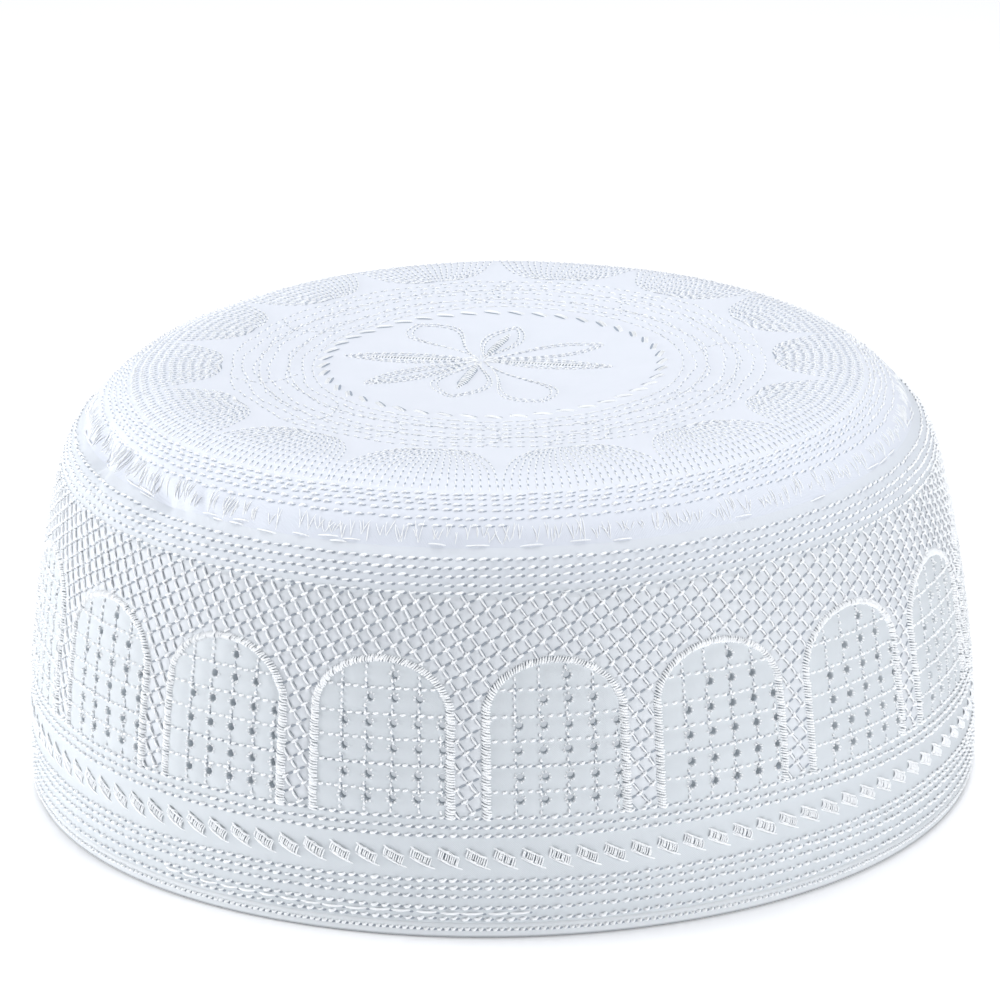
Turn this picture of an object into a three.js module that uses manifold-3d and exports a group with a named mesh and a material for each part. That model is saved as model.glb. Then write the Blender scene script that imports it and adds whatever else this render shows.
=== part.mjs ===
import * as THREE from "three";
import { mergeGeometries, mergeVertices } from "three/addons/utils/BufferGeometryUtils.js";
import Module from "manifold-3d";

// A round embroidered cap: a flat crown, a side band pierced with eyelets under arches, and a folded hem.
// Lengths are in millimetres. +Z is up, -Y is the front, and the origin is the bottom centre of the hem.

// Outline of the cap's outer face, from the hem up to the middle of the crown
const BASE_RADIUS = 95;
const SIDE_TOP_RADIUS = 87.3;
const SIDE_HEIGHT = 65;
const SIDE_BULGE = 2.15;
const CAP_HEIGHT = 82.5;
const CROWN_FLAT_RADIUS = 65;
const CROWN_SAG = 1.3;

// Cloth, folds and the clearance between neighbouring pieces
const BAND_WALL = 1.6;
const CROWN_WALL = 1.6;
const HEM_WALL = 2.4;
const HEM_DEPTH = 3.3;
const HEM_ROUND = 0.7;
const PIECE_GAP = 0.3;

// Seam between side band and crown, measured along the outer face up from the hem
const SEAM_REACH = 75;
const SEAM_DIP = 0.7;
const SEAM_DIP_SPREAD = 2.2;
const PUCKER_DEPTH = 2.2;

// Arches and their eyelets
const ARCH_COUNT = 18;
const FIRST_ARCH_TURN = 5.95;
const ARCH_FOOT_REACH = 24.2;
const ARCH_HEIGHT = 30;
const EYELET_RADIUS = 0.75;
const EYELET_SIDES = 6;
const EYELET_SHIFT = 2.5;

// Facets round the cap
const TURN_STEPS = 72;

// How much a full shoulder or crown curve leans on the corner of its outline, as a share
const SHOULDER_FULLNESS = 0.5;
const SAG_FULLNESS = 0.36;

// The plan is a hand-blocked round: waves round the cap, share of the radius, and where each wave peaks in
// degrees. The single wave keeps the plan centred on the axis.
const PLAN_WAVES = [
  { waves: 1, share: 0.007, turn: 0 },
  { waves: 2, share: 0.0094, turn: -16 },
  { waves: 3, share: 0.007, turn: 60 },
];

// Puckers where the crown was eased into the band: place and half width in degrees round from the front,
// reach and half length as shares of SEAM_REACH, and depth as a share of PUCKER_DEPTH
const PUCKERS = [
  { turn: -50, halfTurn: 4.5, reach: 0.985, halfReach: 0.06, depth: 1 },
  { turn: -60, halfTurn: 4, reach: 1.06, halfReach: 0.05, depth: 0.55 },
  { turn: -70, halfTurn: 5, reach: 1.04, halfReach: 0.055, depth: 0.9 },
  { turn: -35, halfTurn: 6, reach: 0.93, halfReach: 0.05, depth: 0.3 },
];

// Rows of facets up the band, as shares of its depth between the hem and the seam
const BAND_ROWS = [0, 0.14, 0.3, 0.46, 0.61, 0.74, 0.86, 0.94, 1];

// Rows of facets from the seam in over the crown, as shares of what is left of the outline
const CROWN_ROWS = [0, 0.04, 0.09, 0.15, 0.21, 0.28, 0.42, 0.64, 1];

// Eyelet rows up the middle of an arch, as shares of ARCH_HEIGHT
const EYELET_ROWS = [0.107, 0.253, 0.423, 0.58, 0.74, 0.887];

const wasm = await Module();
wasm.setup();

// The cap's outline as one path: bulged side, rounded shoulder, slightly sagging crown.
function capOutline() {
  const foot = new THREE.Vector2(BASE_RADIUS, 0);
  const sideTop = new THREE.Vector2(SIDE_TOP_RADIUS, SIDE_HEIGHT);
  const chord = sideTop.clone().sub(foot).normalize();
  const bulged = foot.clone().lerp(sideTop, 0.5);
  bulged.addScaledVector(new THREE.Vector2(chord.y, -chord.x), 2 * SIDE_BULGE);
  const lean = sideTop.clone().sub(bulged);
  const corner = sideTop.clone().addScaledVector(lean, (CAP_HEIGHT - SIDE_HEIGHT) / lean.y);
  const crownEdge = new THREE.Vector2(CROWN_FLAT_RADIUS, CAP_HEIGHT);
  const middle = new THREE.Vector2(0, CAP_HEIGHT - CROWN_SAG);
  const sagReach = CROWN_FLAT_RADIUS * SAG_FULLNESS;
  const outline = new THREE.CurvePath();
  outline.add(new THREE.QuadraticBezierCurve(foot, bulged, sideTop));
  outline.add(new THREE.CubicBezierCurve(
    sideTop,
    sideTop.clone().lerp(corner, SHOULDER_FULLNESS),
    crownEdge.clone().lerp(corner, SHOULDER_FULLNESS),
    crownEdge,
  ));
  outline.add(new THREE.CubicBezierCurve(
    crownEdge,
    new THREE.Vector2(CROWN_FLAT_RADIUS - sagReach, CAP_HEIGHT),
    new THREE.Vector2(sagReach, CAP_HEIGHT - CROWN_SAG),
    middle,
  ));
  return outline;
}

const outline = capOutline();
const outlineLength = outline.getLength();

// How far the cloth is drawn in at a place on the outer face, by the seam and by the puckers.
function drawnIn(turn, reach) {
  const degrees = THREE.MathUtils.radToDeg(turn);
  let depth = SEAM_DIP * Math.exp(-(((reach - SEAM_REACH) / SEAM_DIP_SPREAD) ** 2));
  for (const pucker of PUCKERS) {
    const aside = THREE.MathUtils.euclideanModulo(degrees - pucker.turn + 180, 360) - 180;
    const across = aside / pucker.halfTurn;
    const along = (reach / SEAM_REACH - pucker.reach) / pucker.halfReach;
    depth += PUCKER_DEPTH * pucker.depth * Math.exp(-across * across - along * along);
  }
  return depth;
}

// A place on the cap: turn in radians round from the front, reach up the outer face, inset into the cloth.
// The hem's underside, at no reach, is level.
function capPlace(turn, reach, inset) {
  const share = Math.min(Math.max(reach / outlineLength, 0), 1);
  const point = outline.getPointAt(share);
  const along = outline.getTangentAt(share);
  const depth = inset + drawnIn(turn, reach);
  const wave = PLAN_WAVES.reduce(
    (sum, row) => sum + row.share * Math.cos(row.waves * (turn - THREE.MathUtils.degToRad(row.turn))),
    1,
  );
  const radius = Math.max(point.x - depth * along.y, 0) * wave;
  const height = reach > 0 ? point.y + depth * along.x : 0;
  return new THREE.Vector3(radius * Math.sin(turn), -radius * Math.cos(turn), height);
}

// The way out of the cloth at a place on the outer face.
function wayOut(turn, reach) {
  return capPlace(turn, reach, 0).sub(capPlace(turn, reach, BAND_WALL)).normalize();
}

// A turned shell whose closed section is a list of places { reach, inset }.
function turnedShell(section) {
  const points = section.map(({ reach, inset }) => {
    const place = capPlace(0, reach, inset);
    return new THREE.Vector2(-place.y, place.z);
  });
  const shell = new THREE.LatheGeometry(points, TURN_STEPS);
  const position = shell.getAttribute("position");
  for (let step = 0; step <= TURN_STEPS; step += 1) {
    const turn = ((step % TURN_STEPS) / TURN_STEPS) * 2 * Math.PI;
    section.forEach(({ reach, inset }, row) => {
      const place = capPlace(turn, reach, inset);
      position.setXYZ(step * section.length + row, place.x, place.y, place.z);
    });
  }
  return weld(shell);
}

// A geometry of positions alone with its shared corners merged and its flat slivers left out.
function weld(geometry) {
  const bare = geometry.clone();
  bare.deleteAttribute("normal");
  bare.deleteAttribute("uv");
  const merged = mergeVertices(bare, 1e-4);
  const corners = merged.getIndex().array;
  const kept = [];
  for (let first = 0; first < corners.length; first += 3) {
    const [a, b, c] = corners.slice(first, first + 3);
    if (a !== b && b !== c && c !== a) {
      kept.push(a, b, c);
    }
  }
  merged.setIndex(kept);
  return merged;
}

function toSolid(geometry) {
  const vertProperties = new Float32Array(geometry.getAttribute("position").array);
  const triVerts = new Uint32Array(geometry.getIndex().array);
  return new wasm.Manifold(new wasm.Mesh({ numProp: 3, vertProperties, triVerts }));
}

function toGeometry(solid) {
  const mesh = solid.getMesh();
  const geometry = new THREE.BufferGeometry();
  geometry.setAttribute("position", new THREE.BufferAttribute(mesh.vertProperties, 3));
  geometry.setIndex(new THREE.BufferAttribute(mesh.triVerts, 1));
  return geometry;
}

// One piercing punch through the band, square to the cloth.
function eyeletPunch(turn, reach) {
  const punch = new THREE.CylinderGeometry(EYELET_RADIUS, EYELET_RADIUS, BAND_WALL * 4, EYELET_SIDES);
  const square = new THREE.Quaternion().setFromUnitVectors(new THREE.Vector3(0, 1, 0), wayOut(turn, reach));
  const place = capPlace(turn, reach, BAND_WALL / 2);
  punch.applyQuaternion(square);
  punch.translate(place.x, place.y, place.z);
  return weld(punch);
}

// The side band, pierced by the middle column of eyelets of every arch.
function sideBand() {
  const low = HEM_DEPTH + PIECE_GAP;
  const high = SEAM_REACH - PIECE_GAP / 2;
  const reaches = BAND_ROWS.map((share) => low + share * (high - low));
  const outer = reaches.map((reach) => ({ reach, inset: 0 }));
  const inner = reaches.map((reach) => ({ reach, inset: BAND_WALL })).reverse();
  const wall = turnedShell([...outer, ...inner, outer[0]]);
  const punches = [];
  for (let arch = 0; arch < ARCH_COUNT; arch += 1) {
    const middle = THREE.MathUtils.degToRad(FIRST_ARCH_TURN + (arch * 360) / ARCH_COUNT);
    const turn = middle + EYELET_SHIFT / BASE_RADIUS;
    for (const share of EYELET_ROWS) {
      punches.push(eyeletPunch(turn, ARCH_FOOT_REACH + share * ARCH_HEIGHT));
    }
  }
  return toGeometry(toSolid(wall).subtract(toSolid(mergeGeometries(punches))));
}

// The crown, from the seam over the shoulder to the middle.
function crownPanel() {
  const low = SEAM_REACH + PIECE_GAP / 2;
  const reaches = CROWN_ROWS.map((share) => low + share * (outlineLength - low));
  const outer = reaches.map((reach) => ({ reach, inset: 0 })).reverse();
  const inner = reaches.map((reach) => ({ reach, inset: CROWN_WALL }));
  return turnedShell([...inner.reverse(), ...outer.reverse()]);
}

// The folded hem: a ring thicker than the band, flat where it stands and rounded at its edges.
function hemEdge() {
  const section = [
    { reach: HEM_ROUND, inset: 0 },
    { reach: HEM_DEPTH - HEM_ROUND, inset: 0 },
    { reach: HEM_DEPTH, inset: HEM_ROUND },
    { reach: HEM_DEPTH, inset: HEM_WALL - HEM_ROUND },
    { reach: HEM_DEPTH - HEM_ROUND, inset: HEM_WALL },
    { reach: HEM_ROUND, inset: HEM_WALL },
    { reach: 0, inset: HEM_WALL - HEM_ROUND },
    { reach: 0, inset: HEM_ROUND },
  ];
  return turnedShell([...section, section[0]]);
}

const crownCloth = new THREE.MeshStandardMaterial({ color: 0xe9eff8, roughness: 0.62, metalness: 0 });
const bandCloth = new THREE.MeshStandardMaterial({ color: 0xdfe6ee, roughness: 0.66, metalness: 0 });
const hemCloth = new THREE.MeshStandardMaterial({ color: 0xe6ebf2, roughness: 0.6, metalness: 0 });

function piece(name, geometry, material) {
  const mesh = new THREE.Mesh(geometry, material);
  mesh.name = name;
  return mesh;
}

const kufi = new THREE.Group();
kufi.add(piece("hem_edge", hemEdge(), hemCloth));
kufi.add(piece("side_band", sideBand(), bandCloth));
kufi.add(piece("crown_panel", crownPanel(), crownCloth));

export default kufi;
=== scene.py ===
"""Embroidered kufi: woven cloth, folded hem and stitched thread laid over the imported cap.

Lengths are in millimetres until a mesh is made, and turns are in degrees round from the front.
A place on the cap is a turn and a reach, which is measured up its outer face from the hem.
"""

import logging
import math
from dataclasses import dataclass, field
from enum import Enum
from functools import cached_property

import bpy
import numpy as np
from bpy.types import Material, Node, NodeSocket, NodeTree, Object
from mathutils import Matrix, Vector


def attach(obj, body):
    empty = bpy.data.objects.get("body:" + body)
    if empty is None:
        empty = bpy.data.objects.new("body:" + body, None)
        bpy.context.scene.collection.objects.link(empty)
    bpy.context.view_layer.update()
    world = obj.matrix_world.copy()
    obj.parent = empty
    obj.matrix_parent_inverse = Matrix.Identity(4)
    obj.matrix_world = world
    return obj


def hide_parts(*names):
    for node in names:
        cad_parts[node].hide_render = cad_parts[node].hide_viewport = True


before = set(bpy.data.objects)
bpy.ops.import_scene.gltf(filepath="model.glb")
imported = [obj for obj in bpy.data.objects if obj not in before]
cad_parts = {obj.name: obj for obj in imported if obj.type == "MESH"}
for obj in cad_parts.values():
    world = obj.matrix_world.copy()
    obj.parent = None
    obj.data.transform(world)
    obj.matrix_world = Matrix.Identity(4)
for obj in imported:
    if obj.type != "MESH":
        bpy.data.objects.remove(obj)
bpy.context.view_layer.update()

log = logging.getLogger("kufi")

MM = 0.001
FULL_TURN = 360.0

# The band's radius half way up, and the millimetres for each degree round it there
MEAN_RADIUS = 92.0
ACROSS = 1.6057


class Chart(Enum):
    """How a thread's places are given: turn and reach, or plan x and y over the crown."""

    SIDE = "side"
    CROWN = "crown"


class Slot(Enum):
    """The record's material slots."""

    HEM = "hem_cloth"
    BAND = "band_cloth"
    CROWN = "crown_cloth"
    THREAD = "embroidery_thread"


def srgb(code: str) -> tuple[float, float, float, float]:
    """Turns an sRGB hex colour into linear values.

    Args:
        code: The colour as "#rrggbb".

    Returns:
        Linear red, green and blue, with an alpha of 1.
    """
    shares = [int(code[i : i + 2], 16) / 255 for i in (1, 3, 5)]
    linear = [s / 12.92 if s <= 0.04045 else ((s + 0.055) / 1.055) ** 2.4 for s in shares]
    return (linear[0], linear[1], linear[2], 1.0)


def add_node(tree: NodeTree, kind: str, settings: dict | None = None, links: dict | None = None) -> Node:
    """Adds one node to a tree, with its settings and links.

    Args:
        tree: The node tree.
        kind: The node's type name.
        settings: Node properties by name, and socket values by index or name.
        links: Output sockets of other nodes, by the index or name of the input they feed.

    Returns:
        The new node.
    """
    node = tree.nodes.new(kind)
    for name, value in (settings or {}).items():
        if isinstance(name, str) and hasattr(node, name):
            setattr(node, name, value)
        else:
            node.inputs[name].default_value = value
    for name, output in (links or {}).items():
        tree.links.new(output, node.inputs[name])
    return node


def new_finish(name: str) -> tuple[Material, NodeTree, Node]:
    """Starts a finish, and gives it with its node tree and its shader."""
    material = bpy.data.materials.new(name)
    material.use_nodes = True
    return material, material.node_tree, material.node_tree.nodes["Principled BSDF"]


def dress(shader: Node, **values: float | tuple) -> None:
    """Sets a shader's sockets, with each name written in small letters and underscores."""
    sockets = {socket.name.lower().replace(" ", "_"): socket for socket in shader.inputs}
    for name, value in values.items():
        sockets[name].default_value = value


def maths(tree: NodeTree, operation: str, *terms: float | NodeSocket) -> NodeSocket:
    """The result of one maths node, fed with numbers and sockets in their order."""
    numbers = {place: term for place, term in enumerate(terms) if isinstance(term, float)}
    links = {place: term for place, term in enumerate(terms) if place not in numbers}
    return add_node(tree, "ShaderNodeMath", {"operation": operation, **numbers}, links).outputs[0]


def blended(tree: NodeTree, share: NodeSocket, low: str | NodeSocket, high: str | NodeSocket) -> NodeSocket:
    """A colour that goes from low to high with the share, each a hex code or a socket."""
    ends = {6: low, 7: high}
    codes = {place: srgb(end) for place, end in ends.items() if isinstance(end, str)}
    links = {place: end for place, end in ends.items() if place not in codes}
    return add_node(tree, "ShaderNodeMix", {"data_type": "RGBA", **codes}, {0: share, **links}).outputs[2]


def unit(vectors: np.ndarray) -> np.ndarray:
    """Vectors brought to a length of one."""
    return vectors / np.maximum(np.linalg.norm(vectors, axis=-1, keepdims=True), 1e-9)


def run_length(points: np.ndarray) -> np.ndarray:
    """How far along a line of points each one lies."""
    return np.concatenate([[0.0], np.cumsum(np.linalg.norm(np.diff(points, axis=0), axis=1))])


def sampled(at: np.ndarray, run: np.ndarray, path: np.ndarray) -> np.ndarray:
    """Places at distances along a path whose points lie at the distances of run."""
    return np.column_stack([np.interp(at, run, path[:, i]) for i in (0, 1)])


def cell_corners(grid: np.ndarray) -> np.ndarray:
    """The four corners of each cell of a grid, counter-clockwise."""
    return np.stack([grid[:-1, :-1], grid[:-1, 1:], grid[1:, 1:], grid[1:, :-1]], 2)


def corner_numbers(rows: int, columns: int) -> np.ndarray:
    """Numbers of a grid's corners, where each row closes on itself round the cap."""
    return np.arange(rows)[:, None] * columns + np.arange(columns + 1)[None, :] % columns


def pairs(first: np.ndarray, second: np.ndarray) -> np.ndarray:
    """Places whose two numbers come from two lines of numbers."""
    return np.column_stack([first, second])


def ring_path(reach: float, first: float = 0.0, last: float = FULL_TURN, steps: int = 720) -> np.ndarray:
    """Places at one reach from one turn to another, or all the way round."""
    turn = np.linspace(first, last, steps + 1)
    return pairs(turn, np.full_like(turn, reach))


def way_at(degrees: float) -> np.ndarray:
    """The plan direction at an angle round from plan x."""
    return np.array([math.cos(math.radians(degrees)), math.sin(math.radians(degrees))])


def left_of(way: np.ndarray) -> np.ndarray:
    """The direction a quarter turn to the left of another."""
    return np.array([-way[1], way[0]])


def bezier(poles: list, steps: int = 160) -> np.ndarray:
    """Points along a Bezier curve of any order through its poles' hull."""
    share = np.linspace(0, 1, steps)[:, None]
    top = len(poles) - 1
    return sum(math.comb(top, i) * share**i * (1 - share) ** (top - i) * pole for i, pole in enumerate(poles))


def wrapped(turn: np.ndarray) -> np.ndarray:
    """Turns brought between -180 and 180 degrees."""
    return (np.asarray(turn) + 180.0) % FULL_TURN - 180.0


@dataclass(frozen=True)
class CapForm:
    """The cap's outer face: its outline, hand-blocked plan, seam and puckers."""

    base_radius: float = 95.0
    side_top_radius: float = 87.3
    side_height: float = 65.0
    side_bulge: float = 2.15
    cap_height: float = 82.5
    crown_flat_radius: float = 65.0
    crown_sag: float = 1.3
    shoulder_fullness: float = 0.5
    sag_fullness: float = 0.36
    seam_reach: float = 75.0
    seam_dip: float = 0.7
    seam_dip_spread: float = 2.2
    pucker_depth: float = 2.2
    # Soft waves of worked cloth, too low for the solid, that fade towards the hem and the crown's middle
    ripple: float = 0.1
    hem_fade: float = 12.0
    top_fade: float = 40.0
    # Fine creases at the seam, too narrow for the solid, each with a low ridge beside it:
    # turn, reach, half width in degrees, half length and depth in millimetres
    creases: tuple = (
        (-69.5, 75.5, 1.6, 2.6, 1.5),
        (-65.5, 74.0, 1.3, 3.0, 0.9),
        (-73.5, 78.5, 1.6, 2.6, 0.9),
        (-62.0, 79.0, 2.2, 3.0, 0.7),
        (-56.0, 77.0, 1.4, 2.6, 0.6),
        (-52.5, 77.5, 1.0, 2.4, 0.7),
        (-50.2, 76.4, 1.2, 2.2, 0.8),
        (-47.6, 77.6, 0.9, 2.2, 0.6),
        (-46.0, 74.2, 1.5, 2.0, 0.45),
        (-43.0, 78.0, 1.0, 2.4, 0.8),
        (-40.2, 76.0, 0.9, 2.0, 0.5),
        (-37.5, 78.6, 1.1, 2.0, 0.6),
        (-43.0, 69.5, 1.4, 2.6, 0.35),
        (-34.0, 76.5, 1.6, 2.2, 0.35),
        (-14.0, 77.0, 1.7, 2.2, 0.3),
        (-6.0, 73.6, 2.4, 1.6, 0.35),
        (22.0, 77.5, 1.8, 2.0, 0.3),
        (49.0, 76.6, 1.5, 2.2, 0.35),
        (96.0, 76.4, 1.6, 2.4, 0.5),
        (151.0, 76.9, 1.5, 2.4, 0.45),
        (214.0, 76.0, 1.6, 2.4, 0.5),
        (257.0, 77.0, 1.5, 2.2, 0.4),
    )
    # Waves round the plan: how many, share of the radius, and the turn where each peaks
    plan_waves: tuple = ((1, 0.007, 0.0), (2, 0.0094, -16.0), (3, 0.007, 60.0))
    # Creases slant this many degrees for each millimetre up; the ridge has this share of their depth
    crease_slant: float = 0.35
    ridge_share: float = 0.35
    ridge_aside: float = 2.1
    # Puckers: turn and half width, reach and half length as shares of the seam's, share of the depth
    puckers: tuple = (
        (-50.0, 4.5, 0.985, 0.06, 1.0),
        (-60.0, 4.0, 1.06, 0.05, 0.55),
        (-70.0, 5.0, 1.04, 0.055, 0.9),
        (-35.0, 6.0, 0.93, 0.05, 0.3),
    )

    @cached_property
    def outline(self) -> np.ndarray:
        """Samples of the outline as rows of reach, radius, height, and the way along it."""
        foot = np.array([self.base_radius, 0.0])
        side_top = np.array([self.side_top_radius, self.side_height])
        chord = (side_top - foot) / np.linalg.norm(side_top - foot)
        bulged = (foot + side_top) / 2 + 2 * self.side_bulge * np.array([chord[1], -chord[0]])
        lean = side_top - bulged
        corner = side_top + lean * (self.cap_height - self.side_height) / lean[1]
        crown_edge = np.array([self.crown_flat_radius, self.cap_height])
        middle = np.array([0.0, self.cap_height - self.crown_sag])
        sag_reach = np.array([self.crown_flat_radius * self.sag_fullness, 0.0])
        full = self.shoulder_fullness
        side = bezier([foot, bulged, side_top])
        upright, level = side_top + (corner - side_top) * full, crown_edge + (corner - crown_edge) * full
        shoulder = bezier([side_top, upright, level, crown_edge])
        top = bezier([crown_edge, crown_edge - sag_reach, middle + sag_reach, middle])
        points = np.concatenate([side, shoulder[1:], top[1:]])
        reach = run_length(points)
        return np.column_stack([reach, points, unit(np.gradient(points, reach, axis=0))])

    @property
    def length(self) -> float:
        """The outline's whole length, from the hem to the middle of the crown."""
        return float(self.outline[-1, 0])

    def plan_wave(self, turn: np.ndarray) -> np.ndarray:
        """The share of the plain radius that the plan has at each turn."""
        share = np.ones_like(turn)
        for waves, height, peak in self.plan_waves:
            share = share + height * np.cos(np.radians(waves * (turn - peak)))
        return share

    def drawn_in(self, turn: np.ndarray, reach: np.ndarray) -> np.ndarray:
        """How far the seam and the puckers draw the cloth in at each place."""
        depth = self.seam_dip * np.exp(-(((reach - self.seam_reach) / self.seam_dip_spread) ** 2))
        for place, half_turn, at, half_reach, share in self.puckers:
            across = wrapped(turn - place) / half_turn
            along = (reach / self.seam_reach - at) / half_reach
            depth = depth + self.pucker_depth * share * np.exp(-(across**2) - along**2)
        return depth

    def rippled(self, turn: np.ndarray, reach: np.ndarray) -> np.ndarray:
        """How far soft waves and fine creases lift the cloth at each place."""
        fade = np.clip(reach / self.hem_fade, 0, 1) * np.clip((self.length - reach) / self.top_fade, 0, 1)
        # Five broad slanted waves round the cap, and eleven finer ones across them
        waves = np.sin(np.radians(5 * turn) + 0.11 * reach) * np.sin(0.09 * reach)
        waves = waves + 0.6 * np.sin(np.radians(11 * turn) - 0.17 * reach + 1.3)
        height = self.ripple * fade * waves
        for place, at, half_turn, half_reach, depth in self.creases:
            across = (wrapped(turn - place) + self.crease_slant * (reach - at)) / half_turn
            along = (reach - at) / half_reach
            height = height - depth * np.exp(-(across**2) - along**2)
            ridge = np.exp(-((across - self.ridge_aside) ** 2) - along**2)
            height = height + self.ridge_share * depth * ridge
        return height

    def place(self, turn: np.ndarray, reach: np.ndarray, lift: np.ndarray = 0.0) -> np.ndarray:
        """Places on the cap.

        Args:
            turn: Degrees round from the front.
            reach: Millimetres up the outer face from the hem.
            lift: Millimetres out of the cloth.

        Returns:
            Points in millimetres, in one more axis of three.
        """
        turn, reach, lift = np.broadcast_arrays(
            np.asarray(turn, float), np.asarray(reach, float), np.asarray(lift, float)
        )
        known = self.outline
        radius, height, out_r, out_z = (np.interp(reach, known[:, 0], known[:, i]) for i in (1, 2, 3, 4))
        depth = self.drawn_in(turn, reach) - self.rippled(turn, reach) - lift
        radius = np.maximum(radius - depth * out_z, 0.0) * self.plan_wave(turn)
        height = np.where(reach > 0, height + depth * out_r, 0.0)
        angle = np.radians(turn)
        return np.stack([radius * np.sin(angle), -radius * np.cos(angle), height], -1)

    def chart(self, first: np.ndarray, second: np.ndarray, kind: Chart) -> tuple[np.ndarray, np.ndarray]:
        """Turns and reaches of places given on a chart.

        Args:
            first: Turn, or plan x.
            second: Reach, or plan y.
            kind: Which chart the two are on.

        Returns:
            The turns and the reaches.
        """
        if kind is Chart.SIDE:
            return first, second
        turn = np.degrees(np.arctan2(first, -second))
        radius = np.hypot(first, second) / self.plan_wave(turn)
        known = self.outline[self.outline[:, 2] > self.side_height]
        return turn, np.interp(radius, known[::-1, 1], known[::-1, 0])


FORM = CapForm()


def make_piece(
    name: str,
    points: np.ndarray,
    faces: np.ndarray,
    material: Material,
    marks: np.ndarray | None = None,
    quilted: np.ndarray | None = None,
) -> Object:
    """Makes one smooth piece that rides on the cap.

    Args:
        name: The piece's name.
        points: Its corners in millimetres.
        faces: Four corner numbers a face.
        material: Its finish.
        marks: Two numbers for each corner of each face, which the finish reads as its UV map.
        quilted: How much of the slanted quilting shows at each corner, from 0 to 1.

    Returns:
        The object.
    """
    mesh = bpy.data.meshes.new(name)
    mesh.from_pydata(points.reshape(-1, 3) * MM, [], faces.reshape(-1, 4))
    mesh.polygons.foreach_set("use_smooth", np.ones(len(mesh.polygons), bool))
    if marks is not None:
        layer = mesh.uv_layers.new(name="cloth")
        layer.data.foreach_set("uv", marks.reshape(-1).astype(np.float32))
    if quilted is not None:
        mesh.attributes.new("quilted", "FLOAT", "POINT").data.foreach_set("value", quilted.astype(np.float32))
    mesh.materials.append(material)
    mesh.update()
    piece = bpy.data.objects.new(name, mesh)
    bpy.context.scene.collection.objects.link(piece)
    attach(piece, "root")
    triangles = 2 * len(faces.reshape(-1, 4))
    log.info("%s: %d triangles", name, triangles)
    return piece


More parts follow.
